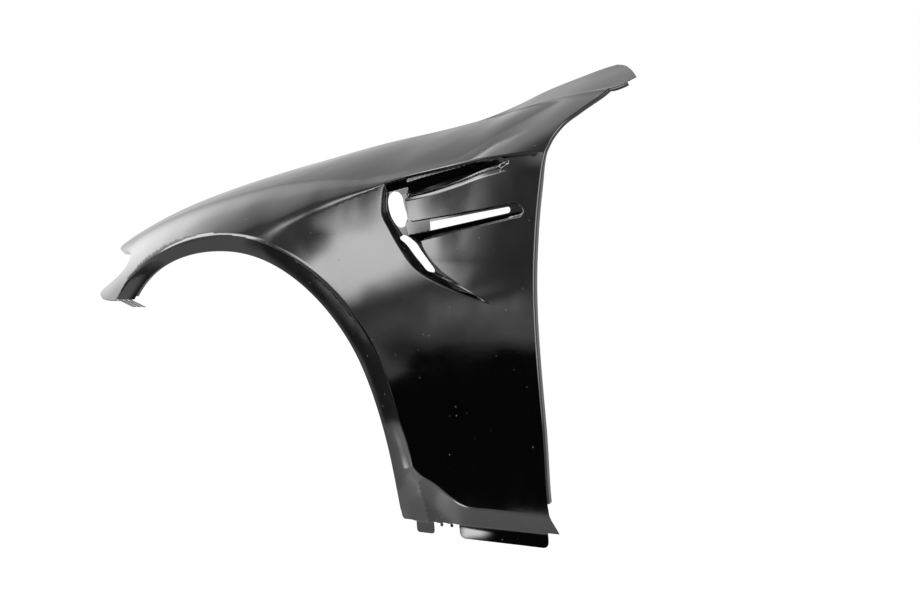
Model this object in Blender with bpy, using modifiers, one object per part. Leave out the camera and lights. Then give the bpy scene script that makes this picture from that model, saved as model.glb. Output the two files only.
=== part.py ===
"""Left front fender of a sports coupe: one steel pressing with a vent behind the wheel.

The sheet is drawn flat, as a blank in which x runs rearwards from the wheel centre and t runs up
the side and then inwards over the top. Its outline and its feature lines are laid out there, and
each point of the blank is then pressed to its place on the car by skin().
"""
import math

import bmesh
import bpy
import numpy as np
from mathutils import Vector
from mathutils.geometry import delaunay_2d_cdt

# Sizes are in millimetres, measured from the wheel centre and from the middle plane of the car.
MM = 0.001
SHEET = 1.0

# The side of the car: a shallow barrel that leans in above and below its widest line.
CROWN_WIDTH = 887.0
CROWN_HEIGHT = 180.0
CROWN_RADIUS = 1380.0
NOSE_TUCK = 0.00035

# The wheel arch: its edge, and the width of the band around it at each angle from the top.
ARCH_POWER = 2.1
ARCH_FRONT = 350.0
ARCH_REAR = 316.0
ARCH_TOP = 357.0
ARCH_FRONT_END = -40.5
BAND = [(-52, 39), (-40, 27), (-25, 20), (-5, 24), (20, 31), (35, 40), (50, 46), (62, 47),
        (73, 46), (84, 51)]

# From the band's end the crease runs on over the sill, as (further back, height over the sill).
SKIRT_CREASE = [(12, 74), (34, 61), (60, 41), (82, 30), (134, 28), (274, 26)]
LIP_SLOPE = 0.35
LIP_LIMIT = 14.0
CREASE_ROUND = 3.0

# The swell of the side towards the arch. It is at its full size this far from the arch edge.
SWELL_FRONT = 32.0
SWELL_TOP = 25.0
SWELL_REAR = 52.0
FLARE_SIDE = 15.0
FLARE_TOP = 17.0
FLARE_RISE = 200.0
FLARE_REACH = 85.0

# The top: the height of the shoulder line, and the place and height of the hood gap, which is
# measured inwards from the widest line of the side.
SHOULDER = [(-460, 262), (-300, 338), (-150, 388), (0, 420), (150, 438), (300, 450), (365, 461),
            (430, 471), (500, 481), (600, 488), (760, 500)]
HOOD_INSET = [(-460, 127), (-400, 139), (-300, 155), (-150, 174), (0, 185), (200, 187), (380, 179),
              (440, 169), (500, 137), (560, 110), (620, 91), (700, 79), (760, 75)]
HOOD_HEIGHT = [(-460, 325), (-410, 350), (-326, 387), (-243, 416), (-149, 441), (-42, 464),
               (64, 483), (182, 503), (312, 520), (440, 539), (500, 546), (560, 553), (620, 560),
               (700, 567), (760, 572)]
COWL_SLOPE = 0.40
COWL_ROUND = 2.0
TOP_BULGE = 7.0
SHOULDER_SHARP = 2.0
SHOULDER_SOFT = 58.0
SHOULDER_FADE = (370.0, 40.0)

# The outline of the blank. The rear part is measured back from the door edge, the nose from the
# front end of the arch.
SILL = -49.0
ARCH_CORNER = 3.0
DOOR_EDGE = 601.0
REAR = [(-6, -22), (1, 100), (-2, 320), (4, 440), (8, 478), (14, 498), (27, 511), (51, 521),
        (93, 538), (111, 550)]
TAIL_END = [(121, 567), (89, 600), (61, 624)]
COWL = [(39, 636), (-27, 632), (-101, 638), (-156, 634), (-205, 619)]
HOOD_REAR = 221.0
HOOD_FRONT = 143.0
HEADLIGHT = [(-138, 97), (-66, 90), (-18, 80), (-15, 65), (-33, 46), (-68, 29), (-121, 7)]
BUMPER = [(-123, 2.4), (-108, -1.6), (-73, -2.6), (-43, -0.6)]

# The vent, measured back and up from the top of its crescent edge, which lies this far ahead of
# the door edge and just over the shoulder line: the crescent, the raised ramp behind it, the
# channel with the slot, the tongue over it and the pocket above.
VENT_AHEAD = 280.0
VENT_OVER = 1.0
CRESCENT = [(1, 1), (0, -17), (2, -46), (17, -68), (41, -98), (64, -122), (86, -136), (111, -147),
            (152, -161), (184, -170), (206, -176)]
RAMP_EDGE = [(179, -164), (143, -147), (112, -130), (89, -111), (76, -94)]
CHANNEL_LOW = [(76, -87), (125, -78), (180, -68), (247, -56)]
CHANNEL_END = [(255, -54), (260, -47), (254, -38)]
CHANNEL_TOP = [(245, -35), (179, -43), (119, -50), (55, -57)]
TONGUE_FRONT = [(50, -50), (45, -37), (42, -31)]
TONGUE_TOP = [(41, -28), (85, -20), (131, -10), (167, -1), (207, 8), (256, 16)]
POCKET_END = [(219, 10), (231, 18), (231, 25), (222, 31)]
UPPER_OPENING = [(4, -29), (6, -21), (13, -16), (25, -17.5), (32, -25), (35, -36), (40, -48),
                 (42, -57), (38, -65), (31, -68), (23, -66), (14, -57), (7, -44)]
LOWER_OPENING = [(32, -81), (39, -79), (49, -83), (61, -91), (70, -102), (82, -116), (93, -130),
                 (92, -133), (86, -132), (76, -126), (62, -113), (47, -97)]
SLOT_FRONT = (85.5, -66.5)
SLOT_REAR = (229.0, -45.3)
SLOT_FRONT_HALF = 6.2
SLOT_REAR_HALF = 4.3

# How deep each part of the vent is pressed in. A depth falls to a share of its size between two
# distances from the crescent. Then the walls: their width, and the rounding of their corners.
WALL = 2.0
WALL_ROUND = 0.4
FLOOR_DEPTH = 10.0
FLOOR_FADE = (109.0, 215.0, 0.2)
RAMP_DEPTH = 4.0
RAMP_FADE = (69.0, 224.0, 0.0)
FACET_DEPTH = 9.0
FACET_TURN = 0.06
SLOT_MARGIN = 1.0
VALLEY_DEPTH = 15.0
VALLEY_FADE = (110.0, 262.0, 0.5)
END_WALL = 5.0
POCKET_DEPTH = 20.0
POCKET_FADE = (79.0, 219.0, 0.45)
POCKET_FRONT = (78.0, 34.0, 0.5)
POCKET_SOFT = 18.0
LEDGE = 3.0
LEDGE_REAR = 9.0
LEDGE_GROWS = (60.0, 200.0)
LEDGE_CORNER = 0.05
TAIL_DEPTH = 2.5
TAIL_FADE = (200.0, 256.0, 0.0)

# Flanges: fold radius, fold angle and flat length past the fold. The arch flange is narrow ahead
# of the wheel and the rear flange is narrow along the tail: only a share of the length is left at
# the first distance, and all of it at the second.
ARCH_FLANGE = (2.5, 95.0, 12.0)
ARCH_NARROW = (-40.0, 120.0, 0.15)
REAR_FLANGE = (2.5, 105.0, 8.0)
REAR_NARROW = (500.0, 440.0, 0.35)
FRONT_FLANGE = (2.5, 90.0, 10.0)
HOOD_FLANGE = (4.0, 85.0, 16.0)
HOOD_SEAT = (3.0, -80.0, 18.0)
FOLD_STEPS = 2

# How far short of its ends each run of the outline is flanged.
TRIMS = {"arch": (6.0, 12.0), "sill": (0.0, 0.0), "rear": (44.0, 10.0), "end": (0.0, 0.0),
         "cowl": (12.0, 12.0), "hood": (12.0, 12.0), "headlight": (14.0, 10.0),
         "bumper": (8.0, 0.0)}

# Fixings under the sill, in order from the arch: the tab, two hooks and the long flange. All of
# them step inboard by the joggle, along the path given as shares of the step and of the drop.
JOGGLE = 8.0
JOGGLE_PATH = [(0.4, 0.04), (1.0, 0.15), (1.0, 0.25), (1.0, 1.0)]
TAB_GAP = 17.0
TAB_LENGTH = 34.0
TAB_DROP = 20.0
TAB_CORNER = 5.0
HOOK_GAP = 11.0
HOOK_LENGTH = 5.0
HOOK_PITCH = 18.0
HOOK_DROP = 8.0
HOOK_CORNER = 2.0
FLANGE_GAP = 9.0
FLANGE_DROP = 24.0
FLANGE_CORNER = 9.0
DOOR_GAP = 25.0

# Fingers under the bumper joint: their place ahead of the arch, and their run inboard and down.
FINGER_COUNT = 3
FINGER_AHEAD = 43.0
FINGER_WIDTH = 7.0
FINGER_PITCH = 14.0
FINGER_PATH = [(1.5, 0.6), (4.5, 3.0), (30.0, 12.0)]
FINGER_GAP = 6.0

# How finely the blank is divided, and past what angle an edge is shaded sharp.
GRID = 18.5
STEP = 12.0
SILL_STEP = 24.0
FINE_STEP = 6.0
SHARP = 28.0


def ramp(u, r):
    """Zero before -r, u after r and a parabola between."""
    u = np.asarray(u, float)
    return np.where(u < -r, 0.0, np.where(u > r, u, (u + r) ** 2 / (4 * r)))


def step_up(u, width, r):
    """From 0 to 1 over a width, with both corners rounded."""
    return (ramp(u, r) - ramp(u - width, r)) / width


def deeper(a, b, r):
    """The greater of two depths, blended where they cross."""
    return b + ramp(a - b, r)


def ease(u):
    u = np.clip(u, 0.0, 1.0)
    return u * u * (3 - 2 * u)


def faded(x, fade):
    """The share of a size that is left at x: all of it at the first place, less at the second."""
    start, stop, share = fade
    return 1 - (1 - share) * ease((x - start) / (stop - start))


def through(points, step, closed=False):
    """A smooth curve through the points, with a point about every step."""
    p = np.array(points, float)
    if closed:
        p = np.vstack([p[-1:], p, p[:2]])
    else:
        p = np.vstack([2 * p[0] - p[1], p, 2 * p[-1] - p[-2]])
    out = []
    for p0, p1, p2, p3 in zip(p, p[1:], p[2:], p[3:]):
        t0 = 0.0
        t1 = t0 + math.sqrt(np.linalg.norm(p1 - p0))
        t2 = t1 + math.sqrt(np.linalg.norm(p2 - p1))
        t3 = t2 + math.sqrt(np.linalg.norm(p3 - p2))
        count = max(1, round(np.linalg.norm(p2 - p1) / step))
        t = np.linspace(t1, t2, count, endpoint=False)[:, None]
        a1 = ((t1 - t) * p0 + (t - t0) * p1) / (t1 - t0)
        a2 = ((t2 - t) * p1 + (t - t1) * p2) / (t2 - t1)
        a3 = ((t3 - t) * p2 + (t - t2) * p3) / (t3 - t2)
        b1 = ((t2 - t) * a1 + (t - t0) * a2) / (t2 - t0)
        b2 = ((t3 - t) * a2 + (t - t1) * a3) / (t3 - t1)
        out.append(((t2 - t) * b1 + (t - t1) * b2) / (t2 - t1))
    if not closed:
        out.append(p[-2][None])
    return np.vstack(out)


def rule(points, x):
    """The height or width that the points give at each x."""
    p = through(points, 4.0)
    return np.interp(x, p[:, 0], p[:, 1])


def shifted(points, x, z=0.0):
    """The points, measured from a place."""
    return [(x + dx, z + dz) for dx, dz in points]


def distance(x, z, line):
    """The distance from each point to a line, and the side: +1 on the left of its run."""
    p = np.stack([np.ravel(x), np.ravel(z)], 1)
    nearest = np.full(len(p), np.inf)
    side = np.ones(len(p))
    for a, b in zip(line, line[1:]):
        d = b - a
        v = p - a
        along = np.clip(v @ d / (d @ d), 0.0, 1.0)
        off = np.linalg.norm(v - along[:, None] * d, axis=1)
        closer = off < nearest - 1e-9
        nearest = np.where(closer, off, nearest)
        side = np.where(closer, np.sign(d[0] * v[:, 1] - d[1] * v[:, 0]), side)
    return nearest.reshape(np.shape(x)), side.reshape(np.shape(x))


def inside(x, z, loop):
    """Which points lie inside a closed loop."""
    x = np.asarray(x, float)
    odd = np.zeros(x.shape, bool)
    for a, b in zip(loop, np.roll(loop, -1, axis=0)):
        crosses = (a[1] > z) != (b[1] > z)
        rise = b[1] - a[1] if b[1] != a[1] else 1.0
        odd ^= crosses & (x < a[0] + (b[0] - a[0]) * (z - a[1]) / rise)
    return odd


def arch_point(degrees, out=0.0):
    """A point of the arch edge, or one beyond it, at an angle from the top."""
    s = math.sin(math.radians(degrees))
    c = math.cos(math.radians(degrees))
    half = ARCH_FRONT if s < 0 else ARCH_REAR
    size = abs(s / half) ** ARCH_POWER + (max(c, 0.0) / ARCH_TOP) ** ARCH_POWER
    radius = size ** (-1 / ARCH_POWER) + out
    return radius * s, radius * c


def arch_line():
    """The arch edge, from its front end down to the sill."""
    last = 90.0 + math.degrees(math.atan2(-SILL, ARCH_REAR))
    count = round(math.radians(last - ARCH_FRONT_END) * ARCH_TOP / STEP)
    return np.array([arch_point(a) for a in np.linspace(ARCH_FRONT_END, last, count)[:-1]])


def lip_line():
    """The crease that bounds the band around the arch and the skirt."""
    angles = through(BAND, 1.5)
    band = [arch_point(angle, width) for angle, width in angles]
    skirt = [band[-1]] + shifted(SKIRT_CREASE, band[-1][0], SILL)
    return np.vstack([band[:-1], through(skirt, STEP)])


VENT_X = DOOR_EDGE - VENT_AHEAD
VENT_Z = float(rule(SHOULDER, VENT_X)) + VENT_OVER


def vent_line(points, step=2 * FINE_STEP, closed=False):
    return through(shifted(points, VENT_X, VENT_Z), step, closed)


LIP_LINE = lip_line()
CRESCENT_LINE = vent_line(CRESCENT, FINE_STEP)
LOW_LINE = vent_line(CHANNEL_LOW)
TOP_LINE = vent_line(CHANNEL_TOP)[::-1]
END_LINE = vent_line(CHANNEL_LOW[-1:] + CHANNEL_END + CHANNEL_TOP[:1], FINE_STEP)
FRONT_LINE = vent_line(CRESCENT[-1:] + RAMP_EDGE + CHANNEL_LOW[:1] + CHANNEL_TOP[-1:]
                       + TONGUE_FRONT + TONGUE_TOP[:1], FINE_STEP)
TONGUE_LINE = vent_line(TONGUE_TOP)
POCKET_LINE = vent_line(POCKET_END, FINE_STEP)


def flare(x, z):
    """How far the wheel arch swells out of the side."""
    half = np.where(x < 0, ARCH_FRONT + SWELL_FRONT, ARCH_REAR + SWELL_REAR)
    top = ARCH_TOP + SWELL_TOP
    reach = np.abs(x / half) ** ARCH_POWER + (np.maximum(z, 0.0) / top) ** ARCH_POWER
    away = np.maximum(reach ** (1 / ARCH_POWER) - 1, 0.0) * top
    size = FLARE_SIDE + FLARE_TOP * ease((z - CROWN_HEIGHT) / FLARE_RISE)
    return size * np.exp(-away / FLARE_REACH)


def lip(x, z):
    """How far the band around the arch and the skirt turn in, past their crease."""
    off, side = distance(x, z, LIP_LINE)
    beyond = np.where(side < 0, off, -off)
    return LIP_LIMIT * np.tanh(LIP_SLOPE * ramp(beyond, CREASE_ROUND) / LIP_LIMIT)


def side_width(x, z):
    """The half-width of the car on the side face."""
    lean = CROWN_RADIUS - np.sqrt(CROWN_RADIUS ** 2 - (z - CROWN_HEIGHT) ** 2)
    return CROWN_WIDTH - lean + flare(x, z) - lip(x, z) - NOSE_TUCK * np.minimum(x, 0.0) ** 2


def shoulder_round(x):
    sharp, soft = SHOULDER_FADE
    return SHOULDER_SHARP + SHOULDER_SOFT * ease((sharp - x) / (sharp - soft))


def hood_reach(x):
    """The distance inwards from the shoulder line to the hood gap."""
    return side_width(x, rule(SHOULDER, x)) - CROWN_WIDTH + rule(HOOD_INSET, x)


def top_rise(x, q):
    """How far the top face has risen at a distance q inwards from the shoulder."""
    reach = hood_reach(x)
    rise = rule(HOOD_HEIGHT, x) - rule(SHOULDER, x)
    part = np.minimum(q / reach, 1.0)
    over = ramp(q - reach, COWL_ROUND)
    return rise * part + 4 * TOP_BULGE * part * (1 - part) + COWL_SLOPE * over


def height_of(line, x):
    return np.interp(x, line[:, 0], line[:, 1])


def ledge_width(x):
    start, stop = LEDGE_GROWS
    return LEDGE + (LEDGE_REAR - LEDGE) * ease((x - VENT_X - start) / (stop - start))


def slot_edge(x):
    """The height of the crease just under the slot."""
    run = (x - VENT_X - SLOT_FRONT[0]) / (SLOT_REAR[0] - SLOT_FRONT[0])
    half = SLOT_FRONT_HALF + (SLOT_REAR_HALF - SLOT_FRONT_HALF) * np.clip(run, 0, 1)
    return VENT_Z + SLOT_FRONT[1] + (SLOT_REAR[1] - SLOT_FRONT[1]) * run - half - SLOT_MARGIN


def crescent_depth(x, z):
    """The floor of the crescent, ahead of the ramp, the channel and the tongue."""
    off, side = distance(x, z, FRONT_LINE)
    ahead = np.where(z > FRONT_LINE[-1][1], x < FRONT_LINE[-1][0], side > 0)
    wall = step_up(np.where(ahead, off, -off), WALL, WALL_ROUND)
    return FLOOR_DEPTH * faded(x - VENT_X, FLOOR_FADE) * wall


def channel_depth(x, z):
    """The facet with the slot under the tongue, and the band that falls in below the slot."""
    back = x - VENT_X
    low = height_of(LOW_LINE, x)
    edge = slot_edge(x)
    fade = faded(back, VALLEY_FADE)
    facet = FACET_DEPTH + FACET_TURN * np.minimum(back - SLOT_FRONT[0], 0.0)
    facet = facet * fade * step_up(height_of(TOP_LINE, x) - z, WALL, WALL_ROUND)
    fall = (VALLEY_DEPTH - FACET_DEPTH) * fade
    band = fall * ramp((edge - z) / np.maximum(edge - low, 2.0), 0.08)
    wall = step_up(z - low + WALL, WALL, WALL_ROUND)
    off, side = distance(x, z, END_LINE)
    closed = (side > 0) | (back < CHANNEL_LOW[-1][0])
    end = step_up(np.where(closed, off, -off), END_WALL, WALL_ROUND)
    end = np.where(back < SLOT_REAR[0] - 2 * END_WALL, 1.0, end)
    return (facet + band) * wall * end * (back > TONGUE_TOP[0][0] - LEDGE)


def pocket_depth(x, z, shoulder):
    """The pocket: its face falls in from the shoulder to a ledge on top of the tongue."""
    back = x - VENT_X
    tongue = height_of(TONGUE_LINE, x)
    width = ledge_width(x)
    valley = tongue + width
    down = np.clip((shoulder - z) / np.maximum(shoulder - valley, 1.0), 0.0, 1.0)
    ledge = ramp((z - tongue) / width, LEDGE_CORNER) - ramp((z - valley) / width, LEDGE_CORNER)
    ledge = np.where(back < TONGUE_TOP[0][0] - LEDGE, 1.0, ledge)
    off, side = distance(x, z, POCKET_LINE)
    within = (side > 0) & (back < POCKET_END[1][0]) | (back < POCKET_END[0][0] - POCKET_SOFT)
    inward = np.where(within, ease(off / POCKET_SOFT), 0.0)
    inward = np.where(back < POCKET_FADE[0], 1.0, inward)
    deep = POCKET_DEPTH * faded(back, POCKET_FADE) * faded(back, POCKET_FRONT) * down * inward
    tail = TAIL_DEPTH * faded(back, TAIL_FADE) * ease(2 * down)
    return np.maximum(deep, tail) * ledge


def vent_depth(x, z):
    """How far the vent is pressed in."""
    shoulder = rule(SHOULDER, x)
    back = x - VENT_X
    off, side = distance(x, z, CRESCENT_LINE)
    within = np.minimum(off * side, shoulder - z)
    outer = np.where(back < -WALL, 0.0, step_up(within, WALL, WALL_ROUND))
    depth = deeper(channel_depth(x, z), RAMP_DEPTH * faded(back, RAMP_FADE), 0.4)
    depth = deeper(crescent_depth(x, z), depth, 0.6)
    return outer * deeper(pocket_depth(x, z, shoulder), depth, 0.6)


def skin(x, t):
    """Where the press puts each point of the blank: x, outboard distance as -y, height."""
    x = np.asarray(x, float)
    t = np.asarray(t, float)
    shoulder = rule(SHOULDER, x)
    q = ramp(t - shoulder, shoulder_round(x))
    z = t - q
    depth = vent_depth(x, t)
    width = side_width(x, z) - q - depth
    return np.stack([x, -width, z + top_rise(x, q)], -1)


def hood_line(rear, front):
    """The hood gap on the blank, from the cowl to the headlight."""
    x = np.linspace(rear, front, round((rear - front) / STEP) + 1)
    return np.stack([x, rule(SHOULDER, x) + hood_reach(x)], 1)


def divided(ends, step):
    """Values from the first end to the last, with one at each end between."""
    ends = sorted(ends)
    out = [ends[0]]
    for a, b in zip(ends, ends[1:]):
        out += list(np.linspace(a, b, max(1, round((b - a) / step)) + 1)[1:])
    return out


def fixings():
    """What hangs under the sill, each as start, stop, drop and corner radius."""
    tab = ARCH_REAR + ARCH_CORNER + TAB_GAP
    pieces = [(tab, tab + TAB_LENGTH, TAB_DROP, TAB_CORNER)]
    for i in range(2):
        hook = tab + TAB_LENGTH + HOOK_GAP + i * HOOK_PITCH
        pieces.append((hook, hook + HOOK_LENGTH, HOOK_DROP, HOOK_CORNER))
    flange = pieces[-1][1] + FLANGE_GAP
    pieces.append((flange, DOOR_EDGE - DOOR_GAP, FLANGE_DROP, FLANGE_CORNER))
    return pieces


def sill_line():
    """The bottom edge, with a point at each end of what hangs under it and at its corners."""
    ends = [ARCH_REAR + ARCH_CORNER, DOOR_EDGE]
    for start, stop, _, radius in fixings():
        ends += [start, stop]
        if radius > HOOK_CORNER:
            for inset in (radius - radius * math.cos(math.radians(45)), radius):
                ends += [start + inset, stop - inset]
    return np.array([(x, SILL) for x in divided(ends, SILL_STEP)])


def fingers():
    """The start and stop of each finger, from the arch forwards."""
    first = arch_point(ARCH_FRONT_END)[0] - FINGER_AHEAD
    stops = [first - i * FINGER_PITCH for i in range(FINGER_COUNT)]
    return [(stop - FINGER_WIDTH, stop) for stop in stops]


def bumper_line(points):
    """The bumper joint, with a point at each side of every finger and where its flange stops."""
    curve = through(points, 4.0)
    ends = [curve[0][0], curve[-1][0], fingers()[-1][0] - FINGER_GAP]
    for pair in fingers():
        ends += pair
    x = divided(ends, STEP)
    return np.stack([x, np.interp(x, curve[:, 0], curve[:, 1])], 1)


def outline():
    """The closed outline of the blank, as named runs that start where the last one ends."""
    arch = arch_line()
    sill = sill_line()
    nose_x, nose_z = arch[0]
    hood = hood_line(DOOR_EDGE - HOOD_REAR, nose_x - HOOD_FRONT)
    rear = [tuple(sill[-1])] + shifted(REAR + TAIL_END[:1], DOOR_EDGE)
    tail = shifted(TAIL_END + COWL[:1], DOOR_EDGE)
    cowl = shifted(COWL, DOOR_EDGE) + [tuple(hood[0])]
    headlight = [tuple(hood[-1])] + shifted(HEADLIGHT + BUMPER[:1], nose_x, nose_z)
    bumper = shifted(BUMPER, nose_x, nose_z) + [(nose_x, nose_z)]
    return [
        ("arch", np.vstack([arch, sill[:1]])),
        ("sill", sill),
        ("rear", through(rear, STEP)),
        ("end", through(tail, STEP)),
        ("cowl", through(cowl, STEP)),
        ("hood", hood),
        ("headlight", through(headlight, STEP)),
        ("bumper", bumper_line(bumper)),
    ]


def slot_ring():
    """The slot: a square front end and a round rear end."""
    front, rear = np.array(shifted([SLOT_FRONT, SLOT_REAR], VENT_X, VENT_Z))
    along = (rear - front) / np.linalg.norm(rear - front)
    up = np.array([-along[1], along[0]])
    turns = [math.radians(a) for a in range(-90, 91, 30)]
    nose = [rear + SLOT_REAR_HALF * (math.cos(a) * along + math.sin(a) * up) for a in turns]
    low = front - SLOT_FRONT_HALF * up
    high = front + SLOT_FRONT_HALF * up
    lower = np.linspace(low, nose[0], 12, endpoint=False)
    upper = np.linspace(high, nose[-1], 12, endpoint=False)[::-1]
    return np.vstack([lower, nose, upper])


def offset(line, amount):
    """A line moved to its left by an amount."""
    d = np.gradient(line, axis=0)
    d /= np.linalg.norm(d, axis=1)[:, None]
    return line + amount * np.stack([-d[:, 1], d[:, 0]], 1)


def feature_lines(loop):
    """The lines inside the outline that the sheet is creased or stepped along."""
    x = np.arange(VENT_X, loop[:, 0].max(), STEP)
    shoulder = np.stack([x, rule(SHOULDER, x)], 1)
    x = np.arange(DOOR_EDGE - HOOD_REAR, loop[:, 0].max(), STEP)
    rail = np.stack([x, rule(SHOULDER, x) + hood_reach(x)], 1)
    valley = TONGUE_LINE[:, 1] + ledge_width(TONGUE_LINE[:, 0])
    under_slot = np.stack([LOW_LINE[:, 0], slot_edge(LOW_LINE[:, 0])], 1)
    lines = [LIP_LINE[::2], shoulder, shoulder - (0.0, WALL), rail, CRESCENT_LINE,
             offset(CRESCENT_LINE, WALL), FRONT_LINE, offset(FRONT_LINE, WALL),
             TOP_LINE, offset(TOP_LINE, -WALL),
             LOW_LINE, offset(LOW_LINE, -WALL), under_slot, TONGUE_LINE,
             np.stack([TONGUE_LINE[:, 0], valley], 1), POCKET_LINE,
             offset(POCKET_LINE, POCKET_SOFT), END_LINE, offset(END_LINE, END_WALL)]
    kept = []
    for line in lines:
        inner = inside(line[:, 0], line[:, 1], loop)
        off, _ = distance(line[:, 0], line[:, 1], np.vstack([loop, loop[:1]]))
        line = line[inner & (off > SHEET)]
        if len(line) > 1:
            kept.append(line)
    return kept


def blank():
    """The blank as points, triangles and its named outline."""
    runs = outline()
    loop = np.vstack([run[:-1] for _, run in runs])
    openings = [vent_line(UPPER_OPENING, FINE_STEP, True), slot_ring(),
                vent_line(LOWER_OPENING, FINE_STEP, True)]
    points = []
    edges = []

    def add(line, closed):
        first = len(points)
        points.extend(tuple(p) for p in line)
        count = len(line)
        edges.extend((first + i, first + i + 1) for i in range(count - 1))
        if closed:
            edges.append((first + count - 1, first))

    for line in [loop] + openings:
        add(line, True)
    for line in feature_lines(loop):
        add(line, False)

    fixed = np.array(points)
    low = loop.min(axis=0)
    high = loop.max(axis=0)
    rows = np.arange(low[1], high[1], GRID * math.sqrt(0.75))
    for i, t in enumerate(rows):
        x = np.arange(low[0] + GRID / 2 * (i % 2), high[0], GRID)
        row = np.stack([x, np.full(len(x), t)], 1)
        row = row[inside(row[:, 0], row[:, 1], loop)]
        for opening in openings:
            row = row[~inside(row[:, 0], row[:, 1], opening)]
        for p in row:
            if np.min(np.linalg.norm(fixed - p, axis=1)) > GRID / 2:
                points.append(tuple(p))

    verts, _, faces, *_ = delaunay_2d_cdt([Vector(p) for p in points], edges, [], 0, 1e-4)
    verts = np.array([tuple(v) for v in verts])
    faces = np.array(faces)
    middle = verts[faces].mean(axis=1)
    keep = inside(middle[:, 0], middle[:, 1], loop)
    for opening in openings:
        keep &= ~inside(middle[:, 0], middle[:, 1], opening)
    return verts, faces[keep], runs


def pressed(verts, faces):
    """The blank as a mesh on the form, faces outboard."""
    bm = bmesh.new()
    flat = bm.verts.layers.float_vector.new("blank")
    used = sorted(set(faces.ravel()))
    place = skin(verts[used, 0], verts[used, 1])
    made = {i: bm.verts.new(p) for i, p in zip(used, place)}
    for i, v in made.items():
        v[flat] = (verts[i][0], verts[i][1], 0.0)
    for tri in faces:
        bm.faces.new([made[i] for i in tri])
    bm.normal_update()
    return bm, flat


def edge_run(bm, flat, line, trim):
    """The boundary edges of one run of the outline, short of its ends by the trims."""
    length = np.concatenate([[0.0], np.cumsum(np.linalg.norm(np.diff(line, axis=0), axis=1))])
    near = 0.05
    found = []
    for e in bm.edges:
        if not e.is_boundary:
            continue
        spots = []
        for v in e.verts:
            gap = np.linalg.norm(line - np.array(v[flat][:2]), axis=1)
            i = int(np.argmin(gap))
            spots.append(length[i] if gap[i] < near else None)
        if None in spots:
            continue
        if min(spots) >= trim[0] - near and max(spots) <= length[-1] - trim[1] + near:
            found.append(e)
    return found


def between(edges, flat, start, stop):
    """The edges of a run that lie between two values of x."""
    near = 0.05
    return [e for e in edges if all(start - near < v[flat][0] < stop + near for v in e.verts)]


def directed(edges):
    """Each boundary edge as its two points, in the order in which its face runs."""
    pairs = []
    for e in edges:
        loop = e.link_loops[0]
        pairs.append((loop.vert, loop.link_loop_next.vert))
    return pairs


def frames(edges):
    """For each point of a run: the way out of the sheet's edge and the way inboard."""
    out = {}
    for e in edges:
        face = e.link_faces[0]
        along = (e.verts[1].co - e.verts[0].co).normalized()
        away = along.cross(face.normal).normalized()
        if away.dot(face.calc_center_median() - e.verts[0].co) > 0:
            away.negate()
        for v in e.verts:
            a, n = out.get(v, (Vector(), Vector()))
            out[v] = (a + away, n + face.normal)
    return {v: (a.normalized(), -n.normalized()) for v, (a, n) in out.items()}


def narrowed(v, flat, axis, limits):
    """The share of a flange's width that is left at a point of the blank."""
    narrow, full, share = limits
    return share + (1 - share) * float(ease((v[flat][axis] - narrow) / (full - narrow)))


def add_strip(bm, pairs, rows, new):
    """One row of quads of a flange, wound as the faces that it carries on from."""
    for a, b in pairs:
        bm.faces.new((rows[b], rows[a], new[a], new[b]))


def turn(bm, edges, folds, share=None):
    """Fold flanges off a run of edges: each fold is radius, angle and flat length."""
    spots = frames(edges)
    shares = {v: share(v) if share else 1.0 for v in spots}
    rows = {v: v for v in spots}
    state = {v: (v.co.copy(), a, n) for v, (a, n) in spots.items()}
    pairs = directed(edges)
    for radius, angle, flat_length in folds:
        part = math.radians(angle) / FOLD_STEPS
        chord = 2 * radius * math.sin(abs(part) / 2)
        for step in range(FOLD_STEPS + 1):
            new = {}
            for v, (p, a, n) in state.items():
                if step < FOLD_STEPS:
                    bent = a * math.cos(part) + n * math.sin(part)
                    inward = n * math.cos(part) - a * math.sin(part)
                    p = p + (a + bent).normalized() * chord
                    a, n = bent, inward
                else:
                    p = p + a * flat_length * shares[v]
                state[v] = (p, a, n)
                new[v] = bm.verts.new(p)
            add_strip(bm, pairs, rows, new)
            rows = new


def corner_rise(x, start, stop, radius):
    """How far a rounded lower corner lifts the edge at x."""
    near = min(x - start, stop - x)
    if near >= radius:
        return 0.0
    return radius - math.sqrt(max(radius ** 2 - (radius - near) ** 2, 0.0))


def finger(bm, edges):
    """A narrow strip that runs inboard and down from the bumper joint."""
    pairs = directed(edges)
    rows = {v: v for e in edges for v in e.verts}
    spots = {v: v.co.copy() for v in rows}
    for inboard, down in FINGER_PATH:
        new = {v: bm.verts.new((p.x, p.y + inboard, p.z - down)) for v, p in spots.items()}
        add_strip(bm, pairs, rows, new)
        rows = new


def hang(bm, edges, piece):
    """A flat flange under the sill: stepped inboard by the joggle, then straight down."""
    start, stop, drop, radius = piece
    pairs = directed(edges)
    rows = {v: v for e in edges for v in e.verts}
    spots = {v: v.co.copy() for v in rows}
    seat = JOGGLE - float(side_width((start + stop) / 2, SILL))
    for inward, down in JOGGLE_PATH:
        new = {}
        for v, p in spots.items():
            fall = (drop - corner_rise(p.x, start, stop, radius)) * down
            new[v] = bm.verts.new((p.x, p.y + (seat - p.y) * inward, p.z - fall))
        add_strip(bm, pairs, rows, new)
        rows = new


def seat_point():
    """The part's origin: the middle of the flat inboard face of the tab."""
    start, stop, drop, _ = fixings()[0]
    middle = (start + stop) / 2
    flat_middle = (JOGGLE_PATH[1][1] + 1.0) / 2
    return Vector((middle, JOGGLE + SHEET - float(side_width(middle, SILL)),
                   SILL - drop * flat_middle))


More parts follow.
